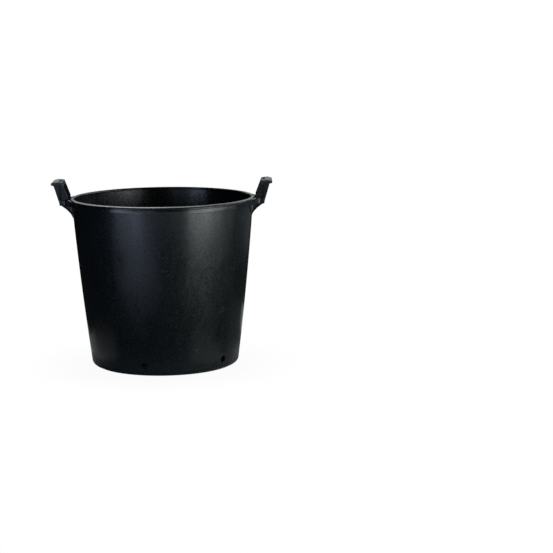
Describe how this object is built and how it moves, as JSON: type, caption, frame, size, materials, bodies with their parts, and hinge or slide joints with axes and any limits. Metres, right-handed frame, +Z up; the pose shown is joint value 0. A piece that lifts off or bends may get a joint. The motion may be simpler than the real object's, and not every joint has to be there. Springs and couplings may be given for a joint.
{
  "type": "florist bucket",
  "caption": "Round tapered black plastic bucket with a stepped rim, two upright loop handles and drain holes low in the wall.",
  "frame": {"origin": "centre of the bucket's base on the surface it stands on", "axes": "+Z up along the bucket's axis, +X towards the right handle, +Y away from the viewer"},
  "size_m": [0.473, 0.4, 0.4003],
  "materials": {
    "black_wall": "satin black moulded polypropylene with fine grain and light scuffs",
    "black_rim": "satin black moulded polypropylene, slightly worn along the lip",
    "black_handle": "satin black moulded polypropylene",
    "grained_grip": "grained anti-slip top on a black grip"
  },
  "bodies": {
    "root": {"tub_wall": "black_wall", "tub_floor": "black_wall", "foot_ring": "black_wall", "rim_band": "black_rim", "rim_bead": "black_rim", "handle_left_base": "black_handle", "handle_left_leg_front": "black_handle", "handle_left_leg_rear": "black_handle", "handle_left_grip": "grained_grip", "handle_left_apron": "black_handle", "handle_left_gusset_front": "black_handle", "handle_left_gusset_rear": "black_handle", "handle_right_base": "black_handle", "handle_right_leg_front": "black_handle", "handle_right_leg_rear": "black_handle", "handle_right_grip": "grained_grip", "handle_right_apron": "black_handle", "handle_right_gusset_front": "black_handle", "handle_right_gusset_rear": "black_handle"}
  },
  "joints": []
}
